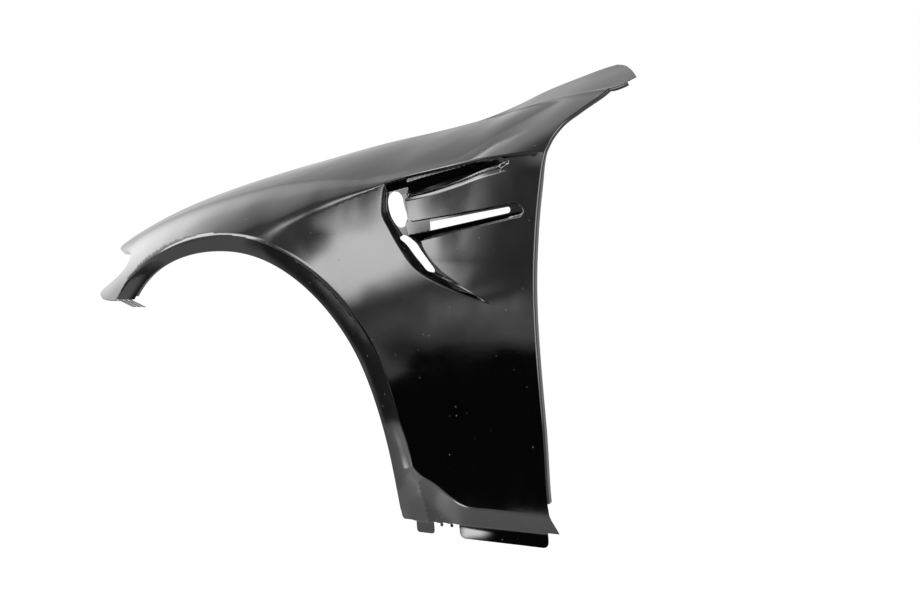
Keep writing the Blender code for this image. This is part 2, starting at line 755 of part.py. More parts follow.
def make_panel():
    verts, faces, runs = blank()
    bm, flat = pressed(verts, faces)
    edges = {name: edge_run(bm, flat, line, TRIMS[name]) for name, line in runs}
    front_end = fingers()[-1][0] - FINGER_GAP
    hung = [between(edges["sill"], flat, start, stop) for start, stop, *_ in fixings()]
    strips = [between(edges["bumper"], flat, start, stop) for start, stop in fingers()]
    bumper = between(edges["bumper"], flat, -math.inf, front_end)

    turn(bm, edges["arch"], [ARCH_FLANGE], lambda v: narrowed(v, flat, 0, ARCH_NARROW))
    turn(bm, edges["rear"], [REAR_FLANGE], lambda v: narrowed(v, flat, 1, REAR_NARROW))
    turn(bm, edges["cowl"], [FRONT_FLANGE])
    turn(bm, edges["hood"], [HOOD_FLANGE, HOOD_SEAT])
    turn(bm, edges["headlight"], [FRONT_FLANGE])
    turn(bm, bumper, [FRONT_FLANGE])
    for run in strips:
        finger(bm, run)
    for run, piece in zip(hung, fixings()):
        hang(bm, run, piece)

    origin = seat_point()
    for v in bm.verts:
        v.co = (v.co - origin) * MM
    mesh = bpy.data.meshes.new("fender_panel")
    bm.to_mesh(mesh)
    bm.free()
    mesh.shade_smooth()
    mesh.set_sharp_from_angle(angle=math.radians(SHARP))
    return mesh


def coat():
    """Black electrocoat on pressed steel."""
    material = bpy.data.materials.new("black_electrocoat")
    material.use_nodes = True
    shader = material.node_tree.nodes["Principled BSDF"]
    shader.inputs["Base Color"].default_value = (0.006, 0.006, 0.007, 1.0)
    shader.inputs["Roughness"].default_value = 0.28
    shader.inputs["Metallic"].default_value = 0.0
    return material


def build():
    for obj in list(bpy.data.objects):
        bpy.data.objects.remove(obj)
    fender = bpy.data.collections.new("fender")
    bpy.context.scene.collection.children.link(fender)
    panel = bpy.data.objects.new("fender_panel", make_panel())
    fender.objects.link(panel)
    panel.data.materials.append(coat())
    sheet = panel.modifiers.new("sheet thickness", "SOLIDIFY")
    sheet.thickness = SHEET * MM
    sheet.offset = -1.0


build()
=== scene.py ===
"""A left front fender in black electrocoat: one steel pressing, with a vent behind the wheel."""
import math

import bmesh
import bpy
import numpy as np
from mathutils import Matrix, Vector
from mathutils.geometry import delaunay_2d_cdt
from mathutils.kdtree import KDTree


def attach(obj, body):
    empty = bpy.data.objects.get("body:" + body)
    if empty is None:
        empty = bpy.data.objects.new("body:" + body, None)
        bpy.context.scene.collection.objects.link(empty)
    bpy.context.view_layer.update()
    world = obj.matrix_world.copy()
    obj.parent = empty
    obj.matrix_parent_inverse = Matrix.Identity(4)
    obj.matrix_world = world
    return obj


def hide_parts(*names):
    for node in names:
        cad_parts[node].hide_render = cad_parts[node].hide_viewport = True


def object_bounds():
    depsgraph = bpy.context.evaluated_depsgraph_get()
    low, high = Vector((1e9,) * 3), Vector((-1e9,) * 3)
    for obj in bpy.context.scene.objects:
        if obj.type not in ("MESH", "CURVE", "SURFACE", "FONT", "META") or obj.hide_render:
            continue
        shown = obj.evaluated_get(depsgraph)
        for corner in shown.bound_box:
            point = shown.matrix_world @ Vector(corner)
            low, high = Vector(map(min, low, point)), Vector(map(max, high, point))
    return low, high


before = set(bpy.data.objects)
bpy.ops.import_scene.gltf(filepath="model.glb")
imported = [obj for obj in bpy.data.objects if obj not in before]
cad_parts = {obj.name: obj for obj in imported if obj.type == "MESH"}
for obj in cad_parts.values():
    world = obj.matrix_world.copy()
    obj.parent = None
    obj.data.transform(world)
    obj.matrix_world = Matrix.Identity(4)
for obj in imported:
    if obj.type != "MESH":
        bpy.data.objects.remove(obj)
cad_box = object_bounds()

# Sizes are in millimetres, measured from the wheel centre and from the middle plane of the car.
MM = 0.001
SHEET = 1.0

# The side of the car: a shallow barrel that leans in above and below its widest line.
CROWN_WIDTH = 887.0
CROWN_HEIGHT = 180.0
CROWN_RADIUS = 1380.0
NOSE_TUCK = 0.00035

# The wheel arch: its edge, and the width of the band around it at each angle from the top.
ARCH_POWER = 2.1
ARCH_FRONT = 350.0
ARCH_REAR = 316.0
ARCH_TOP = 357.0
ARCH_FRONT_END = -40.5
BAND = [(-52, 39), (-40, 27), (-25, 20), (-5, 24), (20, 31), (35, 40), (50, 46), (62, 47),
        (73, 46), (84, 51)]

# From the band's end the crease runs on over the sill, as (further back, height over the sill).
SKIRT_CREASE = [(12, 74), (34, 61), (60, 41), (82, 30), (134, 28), (274, 26)]
LIP_SLOPE = 0.35
LIP_LIMIT = 14.0
CREASE_ROUND = 3.0

# The swell of the side towards the arch. It is at its full size this far from the arch edge.
SWELL_FRONT = 32.0
SWELL_TOP = 25.0
SWELL_REAR = 52.0
FLARE_SIDE = 15.0
FLARE_TOP = 17.0
FLARE_RISE = 200.0
FLARE_REACH = 85.0

# The top: the height of the shoulder line, and the place and height of the hood gap, which is
# measured inwards from the widest line of the side. A fine bead runs on from it under the cowl.
SHOULDER = [(-460, 262), (-300, 338), (-150, 388), (0, 420), (150, 438), (300, 450), (365, 461),
            (430, 471), (500, 481), (600, 488), (760, 500)]
HOOD_INSET = [(-460, 127), (-400, 139), (-300, 155), (-150, 174), (0, 185), (200, 187), (380, 179),
              (440, 169), (500, 137), (560, 110), (620, 91), (700, 79), (760, 75)]
HOOD_HEIGHT = [(-460, 325), (-410, 350), (-326, 387), (-243, 416), (-149, 441), (-42, 464),
               (64, 483), (182, 503), (312, 520), (440, 539), (500, 546), (560, 553), (620, 560),
               (700, 567), (760, 572)]
COWL_SLOPE = 0.40
COWL_ROUND = 2.0
BEAD = 1.3
BEAD_WIDTH = 3.0
BEAD_START = 385.0
BEAD_RISE = 30.0
TOP_BULGE = 7.0
SHOULDER_SHARP = 2.0
SHOULDER_SOFT = 58.0
SHOULDER_FADE = (370.0, 40.0)

# The outline of the blank. The rear part is measured back from the door edge, the nose from the
# front end of the arch.
SILL = -49.0
ARCH_CORNER = 3.0
DOOR_EDGE = 601.0
REAR = [(-6, -22), (1, 100), (-2, 320), (4, 440), (8, 478), (14, 498), (27, 511), (51, 521),
        (93, 538), (111, 550)]
TAIL_END = [(121, 567), (89, 600), (61, 624)]
COWL = [(39, 636), (-27, 632), (-101, 638), (-156, 634), (-205, 619)]
HOOD_REAR = 221.0
HOOD_FRONT = 143.0
HEADLIGHT = [(-138, 97), (-66, 90), (-18, 80), (-15, 65), (-33, 46), (-68, 29), (-121, 7)]
BUMPER = [(-123, 2.4), (-108, -1.6), (-73, -2.6), (-43, -0.6)]

# The vent, measured back and up from the top of its crescent edge: the crescent, the front edge
# of the ramp behind it, the facet with the slot, the tongue over it and the pocket above.
VENT_AHEAD = 280.0
VENT_OVER = 1.0
CRESCENT = [(1, 1), (0, -17), (2, -46), (17, -68), (41, -98), (64, -122), (86, -136), (111, -147),
            (152, -161), (184, -170), (206, -176)]
RAMP_EDGE = [(179, -164), (143, -147), (112, -130), (89, -111), (76, -94)]
CHANNEL_LOW = [(76, -87), (125, -78), (180, -68), (247, -56)]
CHANNEL_END = [(255, -54), (260, -47), (254, -38)]
CHANNEL_TOP = [(245, -35), (179, -43), (119, -50), (55, -57)]
CHANNEL_FRONT = [(74, -89), (60, -87), (50, -82), (44, -71), (42, -62)]
TONGUE_FRONT = [(46, -56), (45, -44), (42, -36)]
TONGUE_TOP = [(41, -30), (86, -23), (132, -12.5), (177, -1), (208, 5.5), (256, 13.5)]
POCKET_END = [(219, 10), (231, 18), (231, 25), (222, 31)]
UPPER_OPENING = [(4, -29), (6, -21), (13, -16), (25, -17.5), (32, -25), (35, -36), (40, -48),
                 (42, -57), (38, -65), (31, -68), (23, -66), (14, -57), (7, -44)]
LOWER_OPENING = [(30, -81), (36, -79), (46, -83), (58, -91), (67, -102), (79, -116), (90, -130),
                 (89, -133), (83, -132), (73, -126), (59, -113), (44.5, -97)]
SLOT_FRONT = (85.5, -66.5)
SLOT_REAR = (229.0, -45.3)
SLOT_FRONT_HALF = 6.2
SLOT_REAR_HALF = 4.3

# How deep each part of the vent is pressed in, the width of its walls and the rounding of their
# corners. Fades are (start, stop, share): a depth falls to a share of its size between two
# distances from the vent's corner. TOP_STRIP is left flush under the shoulder line.
WALL = 2.0
WALL_ROUND = 0.9
TOP_STRIP = 1.5
FLOOR_DEPTH = 9.0
FLOOR_LEAN = (20.0, 140.0, 10.0)
FLOOR_FADE = (109.0, 215.0, 0.2)
FLOOR_SLOPE = 16.0
FRONT_WALL = 3.0
FRONT_ROUND = 1.3
RAMP_DEPTH = 5.5
RAMP_FADE = (60.0, 300.0, 0.0)
RAMP_LOW = (115.0, 185.0, 0.0)
FACET_DEPTH = 10.0
FACET_TURN = 0.06
SLOT_MARGIN = 1.0
VALLEY_DEPTH = 15.0
VALLEY_FADE = (110.0, 262.0, 0.5)
END_WALL = 3.0
POCKET_DEPTH = 20.0
POCKET_FADE = (79.0, 219.0, 0.45)
POCKET_FRONT = (78.0, 34.0, 0.8)
POCKET_SOFT = 14.0
LEDGE = 5.0
LEDGE_REAR = 8.0
LEDGE_GROWS = (60.0, 200.0)
LEDGE_SLOPES = (0.6, 3.2)
LEDGE_ROUND = 0.9
LEDGE_FOOT = 1.6
TAIL_DEPTH = 2.5
TAIL_FADE = (200.0, 256.0, 0.0)

# How softly the forms of the vent run into each other, and how far ahead of and below its corner
# the vent can reach.
RAMP_BLEND = 0.4
TONGUE_BLEND = 0.6
LEDGE_BLEND = 0.5
VENT_MARGIN = 8.0
VENT_FALL = 190.0

# Flanges: fold radius, fold angle and flat length past the fold. Only a share of the length is
# left at the first distance, and all of it at the second.
ARCH_FLANGE = (2.5, 95.0, 12.0)
ARCH_NARROW = (-40.0, 120.0, 0.15)
REAR_FLANGE = (2.5, 105.0, 8.0)
REAR_NARROW = (500.0, 440.0, 0.35)
FRONT_FLANGE = (2.5, 90.0, 10.0)
HOOD_FLANGE = (4.0, 85.0, 16.0)
HOOD_SEAT = (3.0, -80.0, 18.0)
FOLD_STEPS = 6
FLAT_STEPS = 3

# How far short of its ends each run of the outline is flanged.
TRIMS = {"arch": (6.0, 12.0), "sill": (0.0, 0.0), "rear": (44.0, 10.0), "end": (0.0, 0.0),
         "cowl": (12.0, 12.0), "hood": (12.0, 12.0), "headlight": (14.0, 10.0),
         "bumper": (8.0, 0.0)}

# Fixings under the sill, in order from the arch: the tab, two hooks and the long flange. They
# step inboard by the joggle along a path of (inboard, down), then drop straight. The part's origin
# is on the tab, at the seat's drop under the sill.
JOGGLE = 8.0
JOGGLE_PATH = [(0.3, 0.7), (1.0, 1.3), (2.2, 1.6), (5.6, 2.0), (6.9, 2.4), (7.7, 3.2), (8.0, 4.4)]
TAB_GAP = 17.0
TAB_LENGTH = 34.0
TAB_DROP = 20.0
TAB_CORNER = 5.0
HOOK_GAP = 11.0
HOOK_LENGTH = 5.0
HOOK_PITCH = 18.0
HOOK_DROP = 8.0
HOOK_CORNER = 2.0
FLANGE_GAP = 9.0
FLANGE_DROP = 24.0
FLANGE_CORNER = 9.0
DOOR_GAP = 25.0
SEAT_DROP = 11.5

# Fingers under the bumper joint: their place ahead of the arch, and their run inboard and down.
FINGER_COUNT = 3
FINGER_AHEAD = 10.0
FINGER_WIDTH = 8.0
FINGER_PITCH = 12.0
FINGER_PATH = [(1.0, 0.4), (2.5, 1.3), (4.5, 3.0), (31.0, 17.0)]
FINGER_GAP = 6.0

# How finely the blank is divided: in general, around the vent, along the outline and along the
# vent's lines. FINE_LOW and FINE_HIGH are the corners of the part with the vent's grid, measured
# from the vent's corner. CLEAR is the gap that added points keep from an edge, and NEAR is how
# close to a line a point of it lies.
GRID = 5.0
VENT_GRID = 1.8
STEP = 5.0
FINE_STEP = 2.0
FINE_LOW = (-8, -186)
FINE_HIGH = (268, 38)
SLOT_STEPS = 60
CLEAR = 0.8
NEAR = 0.05

# The camera: where it stands, as the car's own sizes, its turn in radians, and its focal length
# in pixels of a frame 920 wide.
CAMERA = (2254.0, -3011.5, 579.8)
YAW = 0.69825
PITCH = 0.10950
ROLL = -0.06987
FOCAL = 1970.0
FRAME_WIDTH = 920
SENSOR = 36.0

# The floor: how far it is below the fender, in metres, and its glow where it is seen directly, so
# that it shows as white as the surround.
FLOOR_GAP = 0.9
FLOOR_LIFT = 0.45
FLOOR_SIZE = 60.0

# The light that the white surround gives, where 1 is what the camera sees of it.
ROOM_LIGHT = 0.6

# The colours, as sRGB hex: the coat, the dust on it, the floor and the surround.
COAT = "#08080A"
DUST_COLOUR = "#6E6B66"
FLOOR_COLOUR = "#F6F6F6"
WHITE = "#FFFFFF"

# The point of the fender that the studio is set out around, in metres.
MIDDLE = (0.0, 0.0, 0.3)

# Cards for the reflections: name, range of azimuths, range of elevations, distance, brightness,
# share of its size over which it fades out and, for the near ones, the place on the fender that
# they are measured from. What each gives the eye is in the comment over it.
CARDS = [
    # The broad light on the side, ahead of the vent.
    ("side_box", (-42, -19), (5, 27), 3.7, 11.0, 0.25),
    # The grey of the top face and of the shoulder.
    ("room_ahead", (-178, -98), (-5, 60), 3.8, 0.75, 0.15),
    ("room_side", (-98, -12), (-4, 60), 3.8, 0.5, 0.15),
    ("front_wall", (-122, -56), (-12, 51), 3.4, 4.2, 0.45),
    # The bright lines on the creases.
    ("spark_card", (-67, -47), (3, 34), 3.0, 12.0, 0.2),
    # The patch low on the side, and the black below it.
    ("side_patch", (-38, -30), (-4, 5), 2.4, 2.0, 0.5),
    ("low_card", (-48, -8), (-42, -3), 2.2, 0.0, 0.08),
    # The dark band around the arch, and the light in it behind the wheel.
    ("band_card", (-94, -57), (-21, -10), 2.8, 0.1, 0.15),
    ("band_strip", (-80, -70), (-25.5, -21.5), 2.7, 4.5, 0.3),
    # The grey strip over the sill.
    ("floor_card", (-76, -44), (-54, -34), 1.2, 2.2, 0.3),
    # The black of the pocket and of the wall under the slot.
    ("pocket_card", (-58, -8), (-60, -32), 0.5, 0.0, 0.15, (0.08, -0.05, 0.5)),
    # The dark strip along the door edge.
    ("door_flag", (-60, -24), (-14, 36), 0.5, 0.3, 0.25, (0.27, -0.05, 0.46)),
    # The bright ledge over the tongue.
    ("ledge_card", (-94, -56), (27, 45), 0.35, 11.0, 0.25, (0.14, -0.03, 0.515)),
    # An even grey under the cowl.
    ("cowl_card", (-122, -72), (26, 58), 0.45, 2.2, 0.3, (0.27, 0.04, 0.6)),
    # The light on the long flange, on the tab and on the skirt.
    ("flange_card", (-50, -25), (-19, -8), 0.12, 13.0, 0.3, (0.078, 0.006, 0.0)),
    ("tab_card", (-56, -26), (-26, -2), 0.12, 1.4, 0.2, (0.0, 0.0, 0.0)),
    ("skirt_card", (-70, -44), (-33, -19), 0.15, 1.6, 0.2, (-0.02, -0.017, 0.05)),
    # The line of light inside the door edge.
    ("edge_wall", (5, 75), (-20, 40), 3.0, 8.0, 0.3),
]

# The finish, in millimetres: the waves of the pressed sheet and the orange peel, each with its
# length and height, the clouds of haze, and the pitch and radius of the dust. The peel and the
# dust are drawn coarser than the real ones, so that they show.
WAVES = 95.0
WAVE_HEIGHT = 2.0
PEEL = 4.0
PEEL_HEIGHT = 0.012
HAZE = 60.0
DUST_PITCH = 10.0
DUST = 1.1


def ramp(u, r):
    """Zero before -r, u after r and a parabola between."""
    u = np.asarray(u, float)
    return np.where(u < -r, 0.0, np.where(u > r, u, (u + r) ** 2 / (4 * r)))


def step_up(u, width, r):
    """From 0 to 1 over a width, with both corners rounded."""
    return (ramp(u, r) - ramp(u - width, r)) / width


def ease(u):
    """From 0 to 1 as u does, level at both ends."""
    u = np.clip(u, 0.0, 1.0)
    return u * u * (3 - 2 * u)


def deeper(a, b, r):
    """The greater of two depths, blended where they cross."""
    return b + ramp(a - b, r)


def faded(x, fade):
    """The share of a size that is left at x: all of it at the first place, less at the second."""
    start, stop, share = fade
    return 1 - (1 - share) * ease((x - start) / (stop - start))


def through(points, step, closed=False):
    """A smooth curve through the points, with a point about every step."""
    p = np.array(points, float)
    if closed:
        p = np.vstack([p[-1:], p, p[:2]])
    else:
        p = np.vstack([2 * p[0] - p[1], p, 2 * p[-1] - p[-2]])
    out = []
    for p0, p1, p2, p3 in zip(p, p[1:], p[2:], p[3:]):
        t0 = 0.0
        t1 = t0 + math.sqrt(np.linalg.norm(p1 - p0))
        t2 = t1 + math.sqrt(np.linalg.norm(p2 - p1))
        t3 = t2 + math.sqrt(np.linalg.norm(p3 - p2))
        count = max(1, round(np.linalg.norm(p2 - p1) / step))
        t = np.linspace(t1, t2, count, endpoint=False)[:, None]
        a1 = ((t1 - t) * p0 + (t - t0) * p1) / (t1 - t0)
        a2 = ((t2 - t) * p1 + (t - t1) * p2) / (t2 - t1)
        a3 = ((t3 - t) * p2 + (t - t2) * p3) / (t3 - t2)
        b1 = ((t2 - t) * a1 + (t - t0) * a2) / (t2 - t0)
        b2 = ((t3 - t) * a2 + (t - t1) * a3) / (t3 - t1)
        out.append(((t2 - t) * b1 + (t - t1) * b2) / (t2 - t1))
    if not closed:
        out.append(p[-2][None])
    return np.vstack(out)


def rule(points, x):
    """The height or width that the points give at each x."""
    p = through(points, 2.0)
    return np.interp(x, p[:, 0], p[:, 1])


def shifted(points, x, z=0.0):
    """The points, measured from a place."""
    return [(x + dx, z + dz) for dx, dz in points]


def distance(x, z, line):
    """The distance from each point to a line, and the side: +1 on the left of its run."""
    p = np.stack([np.ravel(x), np.ravel(z)], 1)
    nearest = np.full(len(p), np.inf)
    side = np.ones(len(p))
    for a, b in zip(line, line[1:]):
        d = b - a
        v = p - a
        along = np.clip(v @ d / (d @ d), 0.0, 1.0)
        off = np.linalg.norm(v - along[:, None] * d, axis=1)
        closer = off < nearest - 1e-9
        nearest = np.where(closer, off, nearest)
        side = np.where(closer, np.sign(d[0] * v[:, 1] - d[1] * v[:, 0]), side)
    return nearest.reshape(np.shape(x)), side.reshape(np.shape(x))


def inside(x, z, loop):
    """Which points lie inside a closed loop."""
    x = np.asarray(x, float)
    odd = np.zeros(x.shape, bool)
    for a, b in zip(loop, np.roll(loop, -1, axis=0)):
        crosses = (a[1] > z) != (b[1] > z)
        rise = b[1] - a[1] if b[1] != a[1] else 1.0
        odd ^= crosses & (x < a[0] + (b[0] - a[0]) * (z - a[1]) / rise)
    return odd


def arch_point(degrees, out=0.0):
    """A point of the arch edge, or one beyond it, at an angle from the top."""
    s = math.sin(math.radians(degrees))
    c = math.cos(math.radians(degrees))
    half = ARCH_FRONT if s < 0 else ARCH_REAR
    size = abs(s / half) ** ARCH_POWER + (max(c, 0.0) / ARCH_TOP) ** ARCH_POWER
    radius = size ** (-1 / ARCH_POWER) + out
    return radius * s, radius * c


def arch_line():
    """The arch edge, from its front end down to the sill."""
    last = 90.0 + math.degrees(math.atan2(-SILL, ARCH_REAR))
    count = round(math.radians(last - ARCH_FRONT_END) * ARCH_TOP / STEP)
    return np.array([arch_point(a) for a in np.linspace(ARCH_FRONT_END, last, count)[:-1]])


def lip_line():
    """The crease that bounds the band around the arch and the skirt."""
    angles = through(BAND, 0.6)
    band = [arch_point(angle, width) for angle, width in angles]
    skirt = [band[-1]] + shifted(SKIRT_CREASE, band[-1][0], SILL)
    return np.vstack([band[:-1], through(skirt, STEP)])


VENT_X = DOOR_EDGE - VENT_AHEAD
VENT_Z = float(rule(SHOULDER, VENT_X)) + VENT_OVER


def vent_line(points, closed=False):
    """A smooth line of the vent, on the blank."""
    return through(shifted(points, VENT_X, VENT_Z), FINE_STEP, closed)


LIP_LINE = lip_line()
CRESCENT_LINE = vent_line(CRESCENT)
LOW_LINE = vent_line(CHANNEL_LOW)
CHANNEL_LINE = vent_line(CHANNEL_LOW + CHANNEL_END + CHANNEL_TOP)
END_START = int(np.argmax(CHANNEL_LINE[:, 0] > VENT_X + SLOT_REAR[0]))
FRONT_LINE = vent_line(CRESCENT[-1:] + RAMP_EDGE + CHANNEL_FRONT + TONGUE_FRONT + TONGUE_TOP[:1])
TONGUE_LINE = vent_line(TONGUE_TOP)
POCKET_LINE = vent_line(POCKET_END)


def flare(x, z):
    """How far the wheel arch swells out of the side."""
    half = np.where(x < 0, ARCH_FRONT + SWELL_FRONT, ARCH_REAR + SWELL_REAR)
    top = ARCH_TOP + SWELL_TOP
    reach = np.abs(x / half) ** ARCH_POWER + (np.maximum(z, 0.0) / top) ** ARCH_POWER
    away = np.maximum(reach ** (1 / ARCH_POWER) - 1, 0.0) * top
    size = FLARE_SIDE + FLARE_TOP * ease((z - CROWN_HEIGHT) / FLARE_RISE)
    return size * np.exp(-away / FLARE_REACH)


def lip(x, z):
    """How far the band around the arch and the skirt turn in, past their crease."""
    off, side = distance(x, z, LIP_LINE)
    beyond = np.where(side < 0, off, -off)
    return LIP_LIMIT * np.tanh(LIP_SLOPE * ramp(beyond, CREASE_ROUND) / LIP_LIMIT)


def side_width(x, z):
    """The half-width of the car on the side face."""
    lean = CROWN_RADIUS - np.sqrt(CROWN_RADIUS ** 2 - (z - CROWN_HEIGHT) ** 2)
    return CROWN_WIDTH - lean + flare(x, z) - lip(x, z) - NOSE_TUCK * np.minimum(x, 0.0) ** 2


def shoulder_round(x):
    """Half the width of the rounding at the shoulder: soft ahead, sharp over the vent."""
    sharp, soft = SHOULDER_FADE
    return SHOULDER_SHARP + SHOULDER_SOFT * ease((sharp - x) / (sharp - soft))


def hood_reach(x):
    """The distance inwards from the shoulder line to the hood gap."""
    return side_width(x, rule(SHOULDER, x)) - CROWN_WIDTH + rule(HOOD_INSET, x)


def top_rise(x, q):
    """How far the top face has risen at a distance q inwards from the shoulder."""
    reach = hood_reach(x)
    rise = rule(HOOD_HEIGHT, x) - rule(SHOULDER, x)
    part = np.minimum(q / reach, 1.0)
    over = ramp(q - reach, COWL_ROUND)
    bead = BEAD * np.exp(-((q - reach) / BEAD_WIDTH) ** 2) * ease((x - BEAD_START) / BEAD_RISE)
    return bead + rise * part + 4 * TOP_BULGE * part * (1 - part) + COWL_SLOPE * over


def height_of(line, x):
    """The height of a line at each x."""
    return np.interp(x, line[:, 0], line[:, 1])


def ledge_width(x):
    """The width of the ledge over the tongue, which grows rearwards."""
    start, stop = LEDGE_GROWS
    return LEDGE + (LEDGE_REAR - LEDGE) * ease((x - VENT_X - start) / (stop - start))


def slot_edge(x):
    """The height of the crease just under the slot."""
    run = (x - VENT_X - SLOT_FRONT[0]) / (SLOT_REAR[0] - SLOT_FRONT[0])
    half = SLOT_FRONT_HALF + (SLOT_REAR_HALF - SLOT_FRONT_HALF) * np.clip(run, 0, 1)
    return VENT_Z + SLOT_FRONT[1] + (SLOT_REAR[1] - SLOT_FRONT[1]) * run - half - SLOT_MARGIN


def crescent_floor(x, z):
    """The floor of the crescent, and its share ahead of the ramp, the channel and the tongue."""
    off, side = distance(x, z, FRONT_LINE)
    ahead = np.where(z > FRONT_LINE[-1][1], x < FRONT_LINE[-1][0], side > 0)
    share = step_up(np.where(ahead, off, -off), FRONT_WALL, FRONT_ROUND)
    start, stop, more = FLOOR_LEAN
    lean = more * np.clip((VENT_Z - z - start) / (stop - start), 0.0, 1.0)
    top = step_up(rule(SHOULDER, x) - z, FLOOR_SLOPE, WALL_ROUND)
    return (FLOOR_DEPTH + lean) * faded(x - VENT_X, FLOOR_FADE) * top, share


def channel_depth(x, z):
    """The facet with the slot under the tongue, and the band that falls in below the slot."""
    back = x - VENT_X
    low = height_of(LOW_LINE, x)
    edge = slot_edge(x)
    fade = faded(back, VALLEY_FADE)
    facet = (FACET_DEPTH + FACET_TURN * np.minimum(back - SLOT_FRONT[0], 0.0)) * fade
    fall = (VALLEY_DEPTH - FACET_DEPTH) * fade
    band = fall * ramp((edge - z) / np.maximum(edge - low, 2.0), 0.08)
    off, side = distance(x, z, CHANNEL_LINE)
    width = WALL + (END_WALL - WALL) * ease((back - SLOT_REAR[0] + END_WALL) / (4 * END_WALL))
    wall = np.clip(ramp(off * side, WALL_ROUND) - ramp(off * side - width, WALL_ROUND), 0, width)
    return (facet + band) * wall / width * (back > TONGUE_TOP[0][0] - WALL)


def pocket_depth(x, z, shoulder, tongue_depth):
    """The pocket: its face falls in from the shoulder to the ledge on top of the tongue, which is
    itself pressed in by the tongue's depth."""
    back = x - VENT_X
    tongue = height_of(TONGUE_LINE, x)
    width = ledge_width(x)
    valley = tongue + LEDGE_FOOT * width
    down = np.clip((shoulder - z) / np.maximum(shoulder - valley, 1.0), 0.0, 1.0)
    off, side = distance(x, z, POCKET_LINE)
    within = (side > 0) & (back < POCKET_END[1][0]) | (back < POCKET_END[0][0] - POCKET_SOFT)
    inward = np.where(within, ease(off / POCKET_SOFT), 0.0)
    inward = np.where(back < POCKET_FADE[0], 1.0, inward)
    deep = POCKET_DEPTH * faded(back, POCKET_FADE) * faded(back, POCKET_FRONT) * down * inward
    tail = TAIL_DEPTH * faded(back, TAIL_FADE) * ease(2 * down)
    deep = np.maximum(deep, tail)
    slope, steep = LEDGE_SLOPES
    ledge = (tongue_depth + slope * ramp(z - tongue, LEDGE_ROUND)
             + (steep - slope) * ramp(z - tongue - width, LEDGE_ROUND))
    ledge = np.where(back < TONGUE_TOP[0][0] - WALL, POCKET_DEPTH, ledge)
    return deep - ramp(deep - ledge, LEDGE_BLEND)


def vent_depth(x, z):
    """How far the vent is pressed in."""
    shoulder = rule(SHOULDER, x)
    back = x - VENT_X
    off, side = distance(x, z, CRESCENT_LINE)
    within = np.minimum(off * side, shoulder - z - TOP_STRIP)
    outer = np.where(back < -WALL, 0.0, step_up(within, WALL, WALL_ROUND))
    slope = RAMP_DEPTH * faded(back, RAMP_FADE) * faded(VENT_Z - z, RAMP_LOW)
    depth = deeper(channel_depth(x, z), slope, RAMP_BLEND)
    depth = deeper(pocket_depth(x, z, shoulder, slope), depth, TONGUE_BLEND)
    floor, share = crescent_floor(x, z)
    return outer * (depth + (floor - depth) * share)


def skin(x, t):
    """Where the press puts each point of the blank: x, outboard distance as -y, height."""
    x = np.asarray(x, float)
    t = np.asarray(t, float)
    shoulder = rule(SHOULDER, x)
    q = ramp(t - shoulder, shoulder_round(x))
    z = t - q
    near = (x > VENT_X - VENT_MARGIN) & (x < DOOR_EDGE) & (z > VENT_Z - VENT_FALL)
    depth = np.zeros(x.shape)
    depth[near] = vent_depth(x[near], t[near])
    width = side_width(x, z) - q - depth
    return np.stack([x, -width, z + top_rise(x, q)], -1)


def skin_normal(x, t):
    """The way out of the sheet at each point of the blank."""
    e = 0.05
    dx = skin(x + e, t) - skin(x - e, t)
    dt = skin(x, t + e) - skin(x, t - e)
    n = np.cross(dx, dt)
    return n / np.linalg.norm(n, axis=-1, keepdims=True)


def hood_line(rear, front):
    """The hood gap on the blank, from the cowl to the headlight."""
    x = np.linspace(rear, front, round((rear - front) / STEP) + 1)
    return np.stack([x, rule(SHOULDER, x) + hood_reach(x)], 1)


def divided(ends, step=STEP):
    """Values from the first end to the last, with one at each end between."""
    ends = sorted(ends)
    out = [ends[0]]
    for a, b in zip(ends, ends[1:]):
        out += list(np.linspace(a, b, max(1, round((b - a) / step)) + 1)[1:])
    return out


def fixings():
    """What hangs under the sill, each as start, stop, drop and corner radius."""
    tab = ARCH_REAR + ARCH_CORNER + TAB_GAP
    pieces = [(tab, tab + TAB_LENGTH, TAB_DROP, TAB_CORNER)]
    for i in range(2):
        hook = tab + TAB_LENGTH + HOOK_GAP + i * HOOK_PITCH
        pieces.append((hook, hook + HOOK_LENGTH, HOOK_DROP, HOOK_CORNER))
    flange = pieces[-1][1] + FLANGE_GAP
    pieces.append((flange, DOOR_EDGE - DOOR_GAP, FLANGE_DROP, FLANGE_CORNER))
    return pieces


def sill_line():
    """The bottom edge, with a point at each end of what hangs under it and at its corners."""
    ends = [ARCH_REAR + ARCH_CORNER, DOOR_EDGE]
    for start, stop, _, radius in fixings():
        for angle in (0, 25, 45, 65, 90):
            inset = radius - radius * math.cos(math.radians(angle))
            ends += [start + inset, stop - inset]
    return np.array([(x, SILL) for x in divided(ends)])


def fingers():
    """The start and stop of each finger, from the arch forwards."""
    first = arch_point(ARCH_FRONT_END)[0] - FINGER_AHEAD
    stops = [first - i * FINGER_PITCH for i in range(FINGER_COUNT)]
    return [(stop - FINGER_WIDTH, stop) for stop in stops]


def bumper_line(points):
    """The bumper joint, with a point at each side of every finger and where its flange stops."""
    curve = through(points, 2.0)
    ends = [curve[0][0], curve[-1][0], fingers()[-1][0] - FINGER_GAP]
    for pair in fingers():
        ends += pair
    x = divided(ends)
    return np.stack([x, np.interp(x, curve[:, 0], curve[:, 1])], 1)


